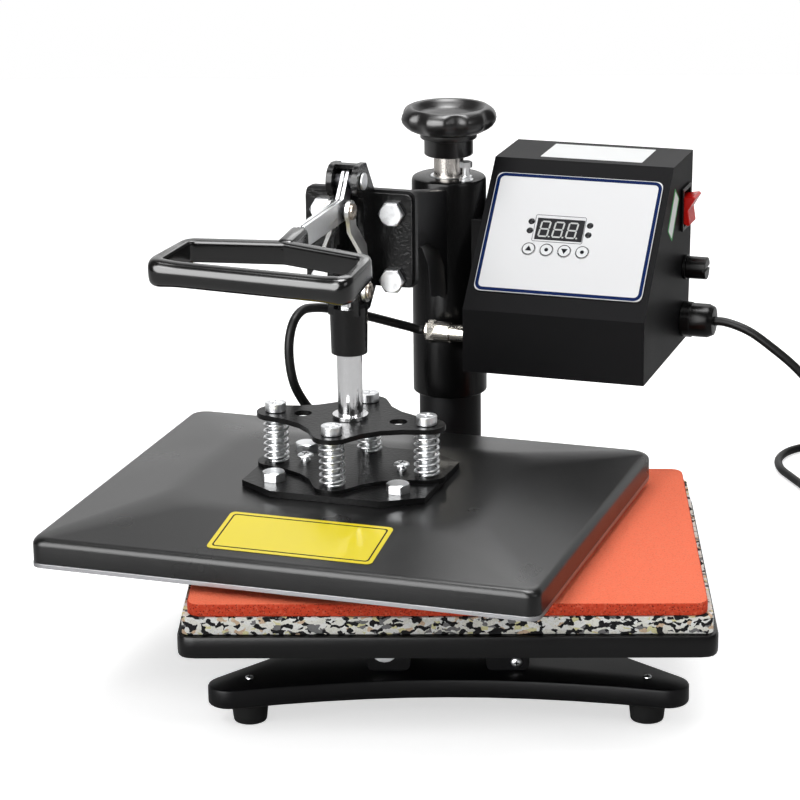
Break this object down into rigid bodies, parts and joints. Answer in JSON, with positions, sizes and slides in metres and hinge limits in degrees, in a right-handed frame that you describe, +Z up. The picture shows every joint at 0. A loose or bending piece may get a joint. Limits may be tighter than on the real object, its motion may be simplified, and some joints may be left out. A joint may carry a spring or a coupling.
{
  "type": "swing-away flat heat press",
  "caption": "Flat heat press with a padded lower platen, a heated upper platen on a swing-away arm, a toggle clamp handle, a pressure knob and a digital control box.",
  "frame": {"origin": "on the floor, under the middle of the press's own bounding box, its mains lead left out", "axes": "+Z up, front towards -Y, arm shown swung 17 degrees clockwise from above"},
  "size_m": [0.7524, 0.7389, 0.397],
  "materials": {
    "black_powder": "satin",
    "black_gloss_metal": "gloss",
    "foot_rubber": "matte",
    "cord_rubber": "satin",
    "black_plastic": "satin",
    "dipped_handle": "gloss",
    "zinc_steel": "satin",
    "polished_steel": "polished",
    "heated_aluminium": "matte",
    "foam": "matte",
    "silicone": "matte",
    "white_film": "satin",
    "key_plastic": "satin",
    "red_plastic": "gloss",
    "board": "satin"
  },
  "bodies": {
    "stand": {"base_frame": "black_powder", "foot_front_left": "foot_rubber", "foot_front_right": "foot_rubber", "foot_rear_left": "foot_rubber", "foot_rear_right": "foot_rubber", "rail_left": "black_powder", "rail_right": "black_powder", "rail_bolt": "zinc_steel", "lower_platen": "black_powder", "foam_sheet": "foam", "silicone_pad": "silicone", "column_post": "black_powder", "cord_coil": "cord_rubber", "mains_plug": "black_plastic"},
    "carriage": {"thrust_bush": "zinc_steel"},
    "knob": {"pressure_knob": "black_plastic", "spindle": "polished_steel"},
    "arm": {"column_sleeve": "black_powder", "press_arm": "black_powder", "clamp_frame": "black_gloss_metal", "clamp_bolt_upper_left": "zinc_steel", "clamp_bolt_upper_right": "zinc_steel", "clamp_bolt_lower_left": "zinc_steel", "clamp_bolt_lower_right": "zinc_steel", "top_pin": "zinc_steel", "box_shell": "black_powder", "box_back": "black_powder", "fascia": "white_film", "display_module": "black_plastic", "control_board": "board", "switch_bezel": "black_plastic", "fuse_holder": "black_plastic", "cable_gland": "black_plastic", "heater_socket": "polished_steel", "heater_plug": "polished_steel", "heater_cable": "cord_rubber", "mains_cord": "cord_rubber"},
    "lever": {"lever_bar": "zinc_steel", "handle_loop": "dipped_handle"},
    "link": {"link_pair": "zinc_steel"},
    "plunger": {"plunger_shaft": "polished_steel", "spider_plate": "black_powder"},
    "platen": {"mount_plate": "black_powder", "guide_screw_front": "zinc_steel", "guide_screw_rear": "zinc_steel", "guide_screw_left": "zinc_steel", "guide_screw_right": "zinc_steel", "spring_front": "zinc_steel", "spring_rear": "zinc_steel", "spring_left": "zinc_steel", "spring_right": "zinc_steel", "platen_cover": "black_powder", "heat_plate": "heated_aluminium"},
    "rocker": {"rocker": "red_plastic"},
    "fuse_cap": {"fuse_cap": "black_plastic"},
    "key_1": {"key_1": "key_plastic"},
    "key_2": {"key_2": "key_plastic"},
    "key_3": {"key_3": "key_plastic"},
    "key_4": {"key_4": "key_plastic"}
  },
  "joints": [
    {"name": "arm_height", "type": "slide", "parent": "stand", "child": "carriage", "axis": [0, 0, 1], "range_m": [-0.001, 0.008]},
    {"name": "arm_swing", "type": "hinge", "parent": "carriage", "child": "arm", "pos_m": [0.0413, 0.18767, 0.32], "axis": [0, 0, 1], "range_deg": [-73, 107], "deforming": ["mains_cord"]},
    {"name": "knob_turn", "type": "hinge", "parent": "carriage", "child": "knob", "pos_m": [0.0413, 0.18767, 0.36], "axis": [0, 0, 1], "range_deg": [-150, 1160]},
    {"name": "handle_lift", "type": "hinge", "parent": "arm", "child": "lever", "pos_m": [-0.03179, -0.05141, 0.384], "axis": [-0.9563, 0.2924, 0], "range_deg": [-10.5, 50]},
    {"name": "link_turn", "type": "hinge", "parent": "lever", "child": "link", "pos_m": [-0.03618, -0.06576, 0.36451], "axis": [-0.9563, 0.2924, 0], "range_deg": [-60, 13]},
    {"name": "plunger_slide", "type": "slide", "parent": "arm", "child": "plunger", "axis": [0, 0, 1], "range_m": [-0.0042, 0.02], "deforming": ["heater_cable"]},
    {"name": "platen_float", "type": "slide", "parent": "plunger", "child": "platen", "axis": [0, 0, 1], "range_m": [0, 0.005], "stiffness_N_per_m": 20000, "springref_m": -0.005, "deforming": ["spring_front", "spring_rear", "spring_left", "spring_right"]},
    {"name": "rocker_tilt", "type": "hinge", "parent": "arm", "child": "rocker", "pos_m": [0.23424, 0.19351, 0.302], "axis": [0.2924, 0.9563, 0], "range_deg": [0, 22]},
    {"name": "fuse_cap_turn", "type": "hinge", "parent": "arm", "child": "fuse_cap", "pos_m": [0.2462, 0.1909, 0.251], "axis": [0.9563, -0.2924, 0], "range_deg": [0, 90]},
    {"name": "key_1_press", "type": "slide", "parent": "arm", "child": "key_1", "axis": [0.2178, 0.7126, -0.6669], "range_m": [0, 0.0004], "stiffness_N_per_m": 400, "springref_m": -0.0005},
    {"name": "key_2_press", "type": "slide", "parent": "arm", "child": "key_2", "axis": [0.2178, 0.7126, -0.6669], "range_m": [0, 0.0004], "stiffness_N_per_m": 400, "springref_m": -0.0005},
    {"name": "key_3_press", "type": "slide", "parent": "arm", "child": "key_3", "axis": [0.2178, 0.7126, -0.6669], "range_m": [0, 0.0004], "stiffness_N_per_m": 400, "springref_m": -0.0005},
    {"name": "key_4_press", "type": "slide", "parent": "arm", "child": "key_4", "axis": [0.2178, 0.7126, -0.6669], "range_m": [0, 0.0004], "stiffness_N_per_m": 400, "springref_m": -0.0005}
  ],
  "couplings": [
    {"joint": "knob_turn", "follows": "arm_height", "rad_per_m": 2513.3},
    {"joint": "link_turn", "follows": "handle_lift", "ratio": -1.18},
    {"joint": "plunger_slide", "follows": "handle_lift", "m_per_rad": 0.0229}
  ]
}
